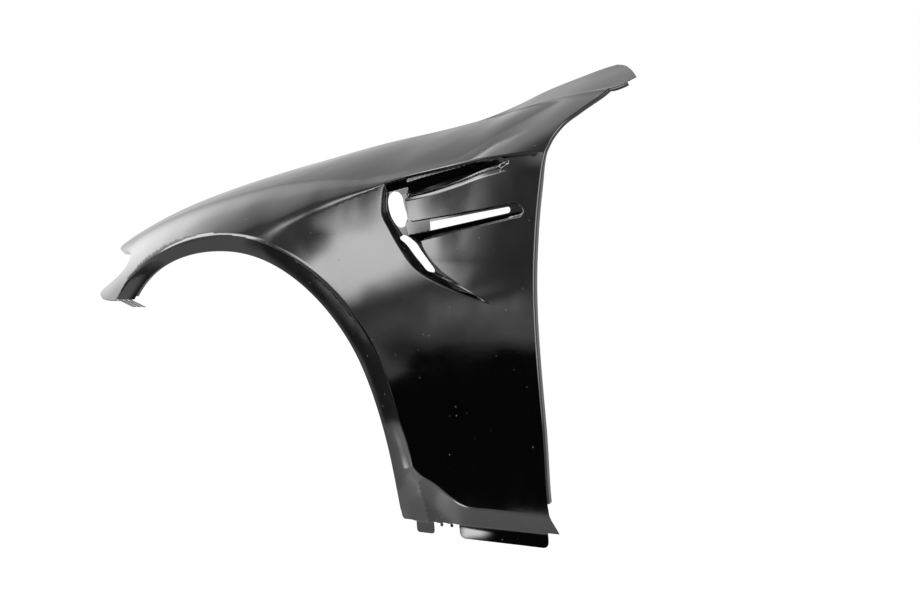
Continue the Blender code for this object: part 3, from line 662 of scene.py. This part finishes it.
def outline():
    """The closed outline of the blank, as named runs that start where the last one ends."""
    arch = arch_line()
    sill = sill_line()
    nose_x, nose_z = arch[0]
    hood = hood_line(DOOR_EDGE - HOOD_REAR, nose_x - HOOD_FRONT)
    rear = [tuple(sill[-1])] + shifted(REAR + TAIL_END[:1], DOOR_EDGE)
    tail = shifted(TAIL_END + COWL[:1], DOOR_EDGE)
    cowl = shifted(COWL, DOOR_EDGE) + [tuple(hood[0])]
    headlight = [tuple(hood[-1])] + shifted(HEADLIGHT + BUMPER[:1], nose_x, nose_z)
    bumper = shifted(BUMPER, nose_x, nose_z) + [(nose_x, nose_z)]
    return [
        ("arch", np.vstack([arch, sill[:1]])),
        ("sill", sill),
        ("rear", through(rear, STEP)),
        ("end", through(tail, STEP)),
        ("cowl", through(cowl, STEP)),
        ("hood", hood),
        ("headlight", through(headlight, STEP)),
        ("bumper", bumper_line(bumper)),
    ]


def slot_ring():
    """The slot: a square front end and a round rear end."""
    front, rear = np.array(shifted([SLOT_FRONT, SLOT_REAR], VENT_X, VENT_Z))
    along = (rear - front) / np.linalg.norm(rear - front)
    up = np.array([-along[1], along[0]])
    turns = [math.radians(a) for a in range(-90, 91, 15)]
    nose = [rear + SLOT_REAR_HALF * (math.cos(a) * along + math.sin(a) * up) for a in turns]
    low = front - SLOT_FRONT_HALF * up
    high = front + SLOT_FRONT_HALF * up
    lower = np.linspace(low, nose[0], SLOT_STEPS, endpoint=False)
    upper = np.linspace(high, nose[-1], SLOT_STEPS, endpoint=False)[::-1]
    return np.vstack([lower, nose, upper])


def offset(line, amount):
    """A line moved to its left by an amount."""
    d = np.gradient(line, axis=0)
    d /= np.linalg.norm(d, axis=1)[:, None]
    return line + amount * np.stack([-d[:, 1], d[:, 0]], 1)


def feature_lines():
    """Rows of points along every crease and wall, so that each is cut cleanly into the mesh."""
    x = np.arange(VENT_X - 90, DOOR_EDGE + 20, 3.0)
    shoulder = np.stack([x, rule(SHOULDER, x)], 1)
    x = np.arange(DOOR_EDGE - HOOD_REAR, DOOR_EDGE + 130, STEP)
    rail = np.stack([x, rule(SHOULDER, x) + hood_reach(x)], 1)
    tongue_x = TONGUE_LINE[:, 0]
    over = TONGUE_LINE[:, 1]
    slot_x = np.linspace(VENT_X + SLOT_FRONT[0] - 20, VENT_X + SLOT_REAR[0] + 14, 90)
    rows = [np.stack([slot_x, slot_edge(slot_x)], 1)]
    for share in (-1.0, -0.5, 0.0, 0.5, 1.0):
        rows.append(offset(LIP_LINE, share * CREASE_ROUND))
        rows.append(shoulder + (0.0, share * SHOULDER_SHARP))
        rows.append(rail + (0.0, share * COWL_ROUND))
        rows.append(rail + (0.0, 2 * share * BEAD_WIDTH))
    for out in (-WALL_ROUND, 0.0, WALL_ROUND, WALL - WALL_ROUND, WALL, WALL + WALL_ROUND):
        rows.append(offset(CRESCENT_LINE, out))
        rows.append(offset(CHANNEL_LINE, out))
    for out in (-FRONT_ROUND, 0.0, FRONT_ROUND, FRONT_WALL, FRONT_WALL + FRONT_ROUND):
        rows.append(offset(FRONT_LINE, out))
    for share in (0.0, 0.5, 1.0, LEDGE_FOOT):
        for out in (-LEDGE_ROUND, 0.0, LEDGE_ROUND):
            rows.append(np.stack([tongue_x, over + share * ledge_width(tongue_x) + out], 1))
    for share in (0.0, 0.25, 0.5, 0.75, 1.0):
        rows.append(offset(POCKET_LINE, share * POCKET_SOFT))
        rows.append(offset(CHANNEL_LINE[END_START:], share * END_WALL))
    return rows


def blank():
    """The blank as points, triangles and its named outline."""
    runs = outline()
    loop = np.vstack([run[:-1] for _, run in runs])
    openings = [vent_line(UPPER_OPENING, True), slot_ring(), vent_line(LOWER_OPENING, True)]
    edge = [np.vstack([line, line[:1]]) for line in [loop] + openings]
    points = []
    edges = []

    def add(line):
        """Add a line as points with edges between them."""
        first = len(points)
        points.extend(tuple(p) for p in line)
        edges.extend((first + i, first + i + 1) for i in range(len(line) - 1))

    def free(p, gap):
        """Which of the points lie on the sheet, clear of its edges."""
        kept = inside(p[:, 0], p[:, 1], loop)
        for opening in openings:
            kept &= ~inside(p[:, 0], p[:, 1], opening)
        for line in edge:
            kept &= distance(p[:, 0], p[:, 1], line)[0] > gap
        return kept

    for line in [loop] + openings:
        add(line)
        edges.append((len(points) - 1, len(points) - len(line)))
    for line in feature_lines():
        kept = free(line, CLEAR)
        breaks = np.where(np.diff(kept.astype(int)) != 0)[0] + 1
        for part in np.split(np.arange(len(line)), breaks):
            if kept[part[0]] and len(part) > 1:
                add(line[part])

    low = loop.min(axis=0)
    high = loop.max(axis=0)
    vent_low = np.array([VENT_X + FINE_LOW[0], VENT_Z + FINE_LOW[1]])
    vent_high = np.array([VENT_X + FINE_HIGH[0], VENT_Z + FINE_HIGH[1]])

    def fill(low, high, grid):
        """The points of a triangular grid that are free and clear of those already there."""
        rows = []
        for i, t in enumerate(np.arange(low[1], high[1], grid * math.sqrt(0.75))):
            x = np.arange(low[0] + grid / 2 * (i % 2), high[0], grid)
            rows.append(np.stack([x, np.full(len(x), t)], 1))
        p = np.vstack(rows)
        p = p[free(p, grid * 0.45)]
        tree = KDTree(len(points))
        for i, q in enumerate(points):
            tree.insert((q[0], q[1], 0.0), i)
        tree.balance()
        return [tuple(q) for q in p if tree.find((q[0], q[1], 0.0))[2] > grid * 0.5]

    points.extend(fill(vent_low, vent_high, VENT_GRID))
    points.extend(fill(low, high, GRID))

    verts, _, faces, *_ = delaunay_2d_cdt([Vector(p) for p in points], edges, [], 0, 1e-4)
    verts = np.array([tuple(v) for v in verts])
    faces = np.array(faces)
    middle = verts[faces].mean(axis=1)
    keep = inside(middle[:, 0], middle[:, 1], loop)
    for opening in openings:
        keep &= ~inside(middle[:, 0], middle[:, 1], opening)
    return verts, faces[keep], runs


def pressed(verts, faces):
    """The blank as a mesh on the form, faces outboard, with its own normals kept in a layer."""
    bm = bmesh.new()
    flat = bm.verts.layers.float_vector.new("blank")
    out = bm.verts.layers.float_vector.new("way_out")
    used = sorted(set(faces.ravel()))
    place = skin(verts[used, 0], verts[used, 1])
    normal = skin_normal(verts[used, 0], verts[used, 1])
    made = {i: bm.verts.new(p) for i, p in zip(used, place)}
    for (i, v), n in zip(made.items(), normal):
        v[flat] = (verts[i][0], verts[i][1], 0.0)
        v[out] = n
    for tri in faces:
        bm.faces.new([made[i] for i in tri])
    bm.normal_update()
    return bm, flat, out


def edge_run(bm, flat, line, trim):
    """The boundary edges of one run of the outline, short of its ends by the trims."""
    length = np.concatenate([[0.0], np.cumsum(np.linalg.norm(np.diff(line, axis=0), axis=1))])
    found = []
    for e in bm.edges:
        if not e.is_boundary:
            continue
        spots = []
        for v in e.verts:
            gap = np.linalg.norm(line - np.array(v[flat][:2]), axis=1)
            i = int(np.argmin(gap))
            spots.append(length[i] if gap[i] < NEAR else None)
        if None in spots:
            continue
        if min(spots) >= trim[0] - NEAR and max(spots) <= length[-1] - trim[1] + NEAR:
            found.append(e)
    return found


def between(edges, flat, start, stop):
    """The edges of a run that lie between two values of x."""
    return [e for e in edges if all(start - NEAR < v[flat][0] < stop + NEAR for v in e.verts)]


def directed(edges):
    """Each boundary edge as its two points, in the order in which its face runs."""
    pairs = []
    for e in edges:
        loop = e.link_loops[0]
        pairs.append((loop.vert, loop.link_loop_next.vert))
    return pairs


def frames(edges, out):
    """For each point of a run: the way out of the sheet's edge and the way inboard."""
    spots = {}
    for a, b in directed(edges):
        along = b.co - a.co
        for v in (a, b):
            spots[v] = spots.get(v, Vector()) + along
    return {v: (along.cross(v[out]).normalized(), -v[out]) for v, along in spots.items()}


def narrowed(v, flat, axis, limits):
    """The share of a flange's width that is left at a point of the blank."""
    narrow, full, share = limits
    return share + (1 - share) * float(ease((v[flat][axis] - narrow) / (full - narrow)))


def add_strip(bm, pairs, rows, new):
    """One row of quads of a flange, wound as the faces that it carries on from."""
    for a, b in pairs:
        bm.faces.new((rows[b], rows[a], new[a], new[b]))


def turn(bm, edges, out, folds, share=None):
    """Fold flanges off a run of edges: each fold is radius, angle and flat length."""
    spots = frames(edges, out)
    shares = {v: share(v) if share else 1.0 for v in spots}
    rows = {v: v for v in spots}
    state = {v: (v.co.copy(), a, n) for v, (a, n) in spots.items()}
    pairs = directed(edges)
    for radius, angle, flat_length in folds:
        part = math.radians(angle) / FOLD_STEPS
        chord = 2 * radius * math.sin(abs(part) / 2)
        for step in range(FOLD_STEPS + FLAT_STEPS):
            new = {}
            for v, (p, a, n) in state.items():
                if step < FOLD_STEPS:
                    bent = a * math.cos(part) + n * math.sin(part)
                    inward = n * math.cos(part) - a * math.sin(part)
                    p = p + (a + bent).normalized() * chord
                    a, n = bent, inward
                else:
                    p = p + a * flat_length * shares[v] / FLAT_STEPS
                state[v] = (p, a, n)
                new[v] = bm.verts.new(p)
                new[v][out] = -n
            add_strip(bm, pairs, rows, new)
            rows = new


def corner_rise(x, start, stop, radius):
    """How far a rounded lower corner lifts the edge at x."""
    near = min(x - start, stop - x)
    if near >= radius:
        return 0.0
    return radius - math.sqrt(max(radius ** 2 - (radius - near) ** 2, 0.0))


def finger(bm, edges):
    """A narrow strip that runs inboard and down from the bumper joint."""
    pairs = directed(edges)
    rows = {v: v for e in edges for v in e.verts}
    spots = {v: v.co.copy() for v in rows}
    for inboard, down in FINGER_PATH:
        new = {v: bm.verts.new((p.x, p.y + inboard, p.z - down)) for v, p in spots.items()}
        add_strip(bm, pairs, rows, new)
        rows = new


def hang(bm, edges, piece):
    """A flat flange under the sill: stepped inboard by the joggle, then straight down."""
    start, stop, drop, radius = piece
    pairs = directed(edges)
    rows = {v: v for e in edges for v in e.verts}
    spots = {v: v.co.copy() for v in rows}
    seat = JOGGLE - float(side_width((start + stop) / 2, SILL))
    last = JOGGLE_PATH[-1][1]
    path = JOGGLE_PATH + [(JOGGLE, last + (drop - last) * i / FLAT_STEPS)
                          for i in range(1, FLAT_STEPS + 1)]
    for inward, down in path:
        new = {}
        for v, p in spots.items():
            fall = (drop - corner_rise(p.x, start, stop, radius)) * down / drop
            new[v] = bm.verts.new((p.x, p.y + (seat - p.y) * inward / JOGGLE, p.z - fall))
        add_strip(bm, pairs, rows, new)
        rows = new


def seat_point():
    """The part's origin: the middle of the flat inboard face of the tab."""
    middle = ARCH_REAR + ARCH_CORNER + TAB_GAP + TAB_LENGTH / 2
    return Vector((middle, JOGGLE + SHEET - float(side_width(middle, SILL)), SILL - SEAT_DROP))


def make_panel():
    """The outer face of the pressing and its flanges, as one object in the scene."""
    verts, faces, runs = blank()
    bm, flat, out = pressed(verts, faces)
    edges = {name: edge_run(bm, flat, line, TRIMS[name]) for name, line in runs}
    front_end = fingers()[-1][0] - FINGER_GAP
    hung = [between(edges["sill"], flat, start, stop) for start, stop, *_ in fixings()]
    strips = [between(edges["bumper"], flat, start, stop) for start, stop in fingers()]
    bumper = between(edges["bumper"], flat, -math.inf, front_end)

    turn(bm, edges["arch"], out, [ARCH_FLANGE], lambda v: narrowed(v, flat, 0, ARCH_NARROW))
    turn(bm, edges["rear"], out, [REAR_FLANGE], lambda v: narrowed(v, flat, 1, REAR_NARROW))
    turn(bm, edges["cowl"], out, [FRONT_FLANGE])
    turn(bm, edges["hood"], out, [HOOD_FLANGE, HOOD_SEAT])
    turn(bm, edges["headlight"], out, [FRONT_FLANGE])
    turn(bm, bumper, out, [FRONT_FLANGE])
    for run in strips:
        finger(bm, run)
    for run, piece in zip(hung, fixings()):
        hang(bm, run, piece)

    origin = seat_point()
    bm.normal_update()
    for v in bm.verts:
        v.co = (v.co - origin) * MM
        if v[out].length < 0.5:
            v[out] = v.normal
    mesh = bpy.data.meshes.new("fender_panel_skin")
    bm.to_mesh(mesh)
    bm.free()
    panel = bpy.data.objects.new("fender_panel_skin", mesh)
    bpy.context.scene.collection.objects.link(panel)
    return panel


def thicken(panel):
    """Give the sheet its thickness, with the normals of the form on both of its faces."""
    outer = len(panel.data.vertices)
    bpy.ops.object.select_all(action="DESELECT")
    panel.select_set(True)
    bpy.context.view_layer.objects.active = panel
    bpy.ops.object.modifier_add(type="SOLIDIFY")
    sheet = panel.modifiers[-1]
    sheet.thickness = SHEET * MM
    sheet.offset = -1.0
    bpy.ops.object.modifier_apply(modifier=sheet.name)

    mesh = panel.data
    way = np.zeros(len(mesh.vertices) * 3)
    mesh.attributes["way_out"].data.foreach_get("vector", way)
    way = way.reshape(-1, 3)
    way[outer:] = -way[:outer]
    corner = np.zeros(len(mesh.loops), int)
    mesh.loops.foreach_get("vertex_index", corner)
    start = np.zeros(len(mesh.polygons), int)
    total = np.zeros(len(mesh.polygons), int)
    mesh.polygons.foreach_get("loop_start", start)
    mesh.polygons.foreach_get("loop_total", total)
    flat = np.zeros(len(mesh.polygons) * 3)
    mesh.polygons.foreach_get("normal", flat)
    flat = np.repeat(flat.reshape(-1, 3), total, axis=0)
    of_face = np.repeat(np.arange(len(mesh.polygons)), total)
    inner_corners = np.bincount(of_face, weights=corner >= outer)
    rim = (inner_corners > 0) & (inner_corners < total)
    normals = way[corner]
    normals[rim[of_face]] = flat[rim[of_face]]
    for name in ("way_out", "blank"):
        mesh.attributes.remove(mesh.attributes[name])
    mesh.shade_smooth()
    mesh.normals_split_custom_set([tuple(n) for n in normals])


def linear(code):
    """A colour written as sRGB hex, as linear light."""
    parts = [int(code[i:i + 2], 16) / 255 for i in (1, 3, 5)]
    return [c / 12.92 if c <= 0.04045 else ((c + 0.055) / 1.055) ** 2.4 for c in parts] + [1.0]


def node(tree, kind, settings=None, links=None):
    """Add a node, set its properties and sockets, and link its sockets to others."""
    made = tree.nodes.new(kind)
    for key, value in (settings or {}).items():
        if isinstance(key, str) and hasattr(made, key):
            setattr(made, key, value)
        else:
            made.inputs[key].default_value = value
    for key, source in (links or {}).items():
        tree.links.new(source, made.inputs[key])
    return made


def electrocoat():
    """Black electrocoat primer on pressed steel, dipped and baked: deep black and glossy. The
    waves of the pressed sheet bend its reflections, a fine orange peel breaks them up, and dust
    and the haze of handling dull it in places."""
    material = bpy.data.materials.new("black_electrocoat")
    material.use_nodes = True
    tree = material.node_tree
    shader = tree.nodes["Principled BSDF"]
    shader.inputs["IOR"].default_value = 1.5
    place = node(tree, "ShaderNodeTexCoord").outputs["Object"]

    waves = node(tree, "ShaderNodeTexNoise", {"Scale": 1 / (WAVES * MM), "Detail": 1.0,
                                              "Roughness": 0.35}, {"Vector": place})
    bent = node(tree, "ShaderNodeBump", {"Strength": 1.0, "Distance": WAVE_HEIGHT * MM},
                {"Height": waves.outputs[0]})
    peel = node(tree, "ShaderNodeTexNoise", {"Scale": 1 / (PEEL * MM), "Detail": 1.0},
                {"Vector": place})
    skin_bump = node(tree, "ShaderNodeBump", {"Strength": 1.0, "Distance": PEEL_HEIGHT * MM},
                     {"Height": peel.outputs[0], "Normal": bent.outputs[0]})
    tree.links.new(skin_bump.outputs[0], shader.inputs["Normal"])

    haze = node(tree, "ShaderNodeTexNoise", {"Scale": 1 / (HAZE * MM), "Detail": 5.0,
                                             "Roughness": 0.65}, {"Vector": place})
    dull = node(tree, "ShaderNodeMapRange", {"From Min": 0.35, "From Max": 0.75, "To Min": 0.07,
                                             "To Max": 0.15}, {"Value": haze.outputs[0]})
    cells = node(tree, "ShaderNodeTexVoronoi", {"Scale": 1 / (DUST_PITCH * MM),
                                                "Randomness": 1.0}, {"Vector": place})
    shade = node(tree, "ShaderNodeSeparateColor", None, {"Color": cells.outputs["Color"]})
    size = node(tree, "ShaderNodeMapRange", {"From Min": 0.6, "From Max": 1.0,
                                             "To Max": DUST / DUST_PITCH},
                {"Value": shade.outputs[0]})
    speck = node(tree, "ShaderNodeMath", {"operation": "LESS_THAN"},
                 {0: cells.outputs["Distance"], 1: size.outputs[0]})
    colour = node(tree, "ShaderNodeMix", {"data_type": "RGBA"}, {"Factor": speck.outputs[0]})
    colour.inputs["A"].default_value = linear(COAT)
    colour.inputs["B"].default_value = linear(DUST_COLOUR)
    tree.links.new(colour.outputs["Result"], shader.inputs["Base Color"])
    rough = node(tree, "ShaderNodeMix", {"data_type": "FLOAT", "B": 0.6},
                 {"Factor": speck.outputs[0], "A": dull.outputs[0]})
    tree.links.new(rough.outputs["Result"], shader.inputs["Roughness"])
    return material


def toward(azimuth, elevation, reach, start=MIDDLE):
    """A place in the studio: its direction in degrees and its distance from a point of the fender.
    Azimuth 0 is straight out from the fender's side, and -90 is ahead of the car."""
    a = math.radians(azimuth)
    e = math.radians(elevation)
    way = Vector((math.sin(a) * math.cos(e), -math.cos(a) * math.cos(e), math.sin(e)))
    return Vector(start) + reach * way


def facing(made, place, target=MIDDLE):
    """Put a lamp or a card in its place, turned to the fender."""
    made.location = place
    made.rotation_euler = (Vector(target) - place).to_track_quat("-Z", "Y").to_euler()


def soft_lamp(name, place, size, brightness):
    """A soft box: a rectangle of even brightness, where 1 is white."""
    lamp = bpy.data.lights.new(name, "AREA")
    lamp.shape = "RECTANGLE"
    lamp.size, lamp.size_y = size
    lamp.energy = brightness * math.pi * size[0] * size[1]
    made = bpy.data.objects.new(name, lamp)
    made.visible_camera = False
    bpy.context.scene.collection.objects.link(made)
    facing(made, place)


def plain_paint(name, code, roughness):
    """Matt paint of one colour."""
    material = bpy.data.materials.new(name)
    material.use_nodes = True
    shader = material.node_tree.nodes["Principled BSDF"]
    shader.inputs["Base Color"].default_value = linear(code)
    shader.inputs["Roughness"].default_value = roughness
    return material


def card_cloth(name, brightness, edge):
    """Stretched cloth, lit evenly or left black: the eye sees a soft patch in the gloss, which
    fades out towards the edges of the card."""
    material = bpy.data.materials.new(name)
    material.use_nodes = True
    tree = material.node_tree
    tree.nodes.clear()
    place = node(tree, "ShaderNodeTexCoord")
    parts = node(tree, "ShaderNodeSeparateXYZ", None, {"Vector": place.outputs["Object"]})
    fades = []
    for axis in ("X", "Y"):
        size = node(tree, "ShaderNodeMath", {"operation": "ABSOLUTE"}, {0: parts.outputs[axis]})
        fades.append(node(tree, "ShaderNodeMapRange",
                          {"interpolation_type": "SMOOTHSTEP", "From Min": 0.5,
                           "From Max": 0.5 - edge}, {"Value": size.outputs[0]}))
    both = node(tree, "ShaderNodeMath", {"operation": "MULTIPLY"},
                {0: fades[0].outputs[0], 1: fades[1].outputs[0]})
    clear = node(tree, "ShaderNodeBsdfTransparent")
    glow = node(tree, "ShaderNodeEmission", {"Strength": brightness})
    mixed = node(tree, "ShaderNodeMixShader", None,
                 {0: both.outputs[0], 1: clear.outputs[0], 2: glow.outputs[0]})
    node(tree, "ShaderNodeOutputMaterial", None, {"Surface": mixed.outputs[0]})
    return material


def soft_card(name, azimuths, elevations, reach, brightness, edge, start=MIDDLE):
    """A card that shows only in the fender's gloss: black at brightness 0, and a white that is
    fully lit at 1. Cards like it shape the reflections in black paint. It spans a range of
    directions, in degrees."""
    bpy.ops.mesh.primitive_plane_add(size=1.0)
    card = bpy.context.object
    card.name = name
    wide, tall = (2 * reach * math.tan(math.radians(b - a) / 2)
                  for a, b in (azimuths, elevations))
    card.scale = (wide, tall, 1.0)
    card.data.materials.append(card_cloth(name, brightness, edge))
    card.visible_camera = False
    card.visible_diffuse = False
    card.visible_shadow = False
    facing(card, toward(sum(azimuths) / 2, sum(elevations) / 2, reach, start), start)


def seen_directly(tree):
    """1 for what the camera sees, also in gloss or through glass, and 0 for light on a thing."""
    path = node(tree, "ShaderNodeLightPath")
    seen = node(tree, "ShaderNodeMath", {"operation": "MAXIMUM"},
                {0: path.outputs["Is Camera Ray"], 1: path.outputs["Is Glossy Ray"]})
    return node(tree, "ShaderNodeMath", {"operation": "MAXIMUM"},
                {0: seen.outputs[0], 1: path.outputs["Is Transmission Ray"]}).outputs[0]


def studio(floor_height):
    """A pale floor, a white surround, a soft lamp overhead, and cards for the reflections."""
    bpy.ops.object.select_all(action="DESELECT")
    bpy.ops.mesh.primitive_plane_add(size=FLOOR_SIZE, location=(0.0, 0.0, floor_height))
    floor = bpy.context.object
    floor.name = "studio_floor"
    paint = plain_paint("white_floor", FLOOR_COLOUR, 0.9)
    shader = paint.node_tree.nodes["Principled BSDF"]
    lift = node(paint.node_tree, "ShaderNodeMath", {"operation": "MULTIPLY", 1: FLOOR_LIFT},
                {0: seen_directly(paint.node_tree)})
    paint.node_tree.links.new(lift.outputs[0], shader.inputs["Emission Strength"])
    shader.inputs["Emission Color"].default_value = linear(WHITE)
    floor.data.materials.append(paint)

    world = bpy.data.worlds.new("studio")
    bpy.context.scene.world = world
    world.use_nodes = True
    tree = world.node_tree
    back = tree.nodes["Background"]
    strength = node(tree, "ShaderNodeMapRange", {"To Min": ROOM_LIGHT, "To Max": 1.0},
                    {"Value": seen_directly(tree)})
    back.inputs["Color"].default_value = linear(WHITE)
    tree.links.new(strength.outputs[0], back.inputs["Strength"])

    soft_lamp("overhead_box", toward(-115, 62, 2.2), (1.4, 1.0), 4.0)
    for card in CARDS:
        soft_card(*card)


def camera():
    """The photograph's view: from behind and outboard, a little above and tilted."""
    right = Vector((math.cos(YAW), math.sin(YAW), 0.0))
    ahead = Vector((-math.sin(YAW) * math.cos(PITCH), math.cos(YAW) * math.cos(PITCH),
                    -math.sin(PITCH)))
    up = right.cross(ahead)
    level = math.cos(ROLL) * right + math.sin(ROLL) * up
    upright = -math.sin(ROLL) * right + math.cos(ROLL) * up
    made = bpy.data.objects.new("camera", bpy.data.cameras.new("camera"))
    place = Matrix((level, upright, -ahead)).transposed().to_4x4()
    place.translation = (Vector(CAMERA) - seat_point()) * MM
    made.matrix_world = place
    made.data.sensor_width = SENSOR
    made.data.lens = SENSOR * FOCAL / FRAME_WIDTH
    bpy.context.scene.collection.objects.link(made)
    bpy.context.scene.camera = made


camera()
panel = make_panel()
thicken(panel)
panel.data.materials.append(electrocoat())
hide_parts("fender_panel")
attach(panel, "root")
studio(cad_box[0][2] - FLOOR_GAP)
bpy.context.scene.view_settings.view_transform = "Standard"
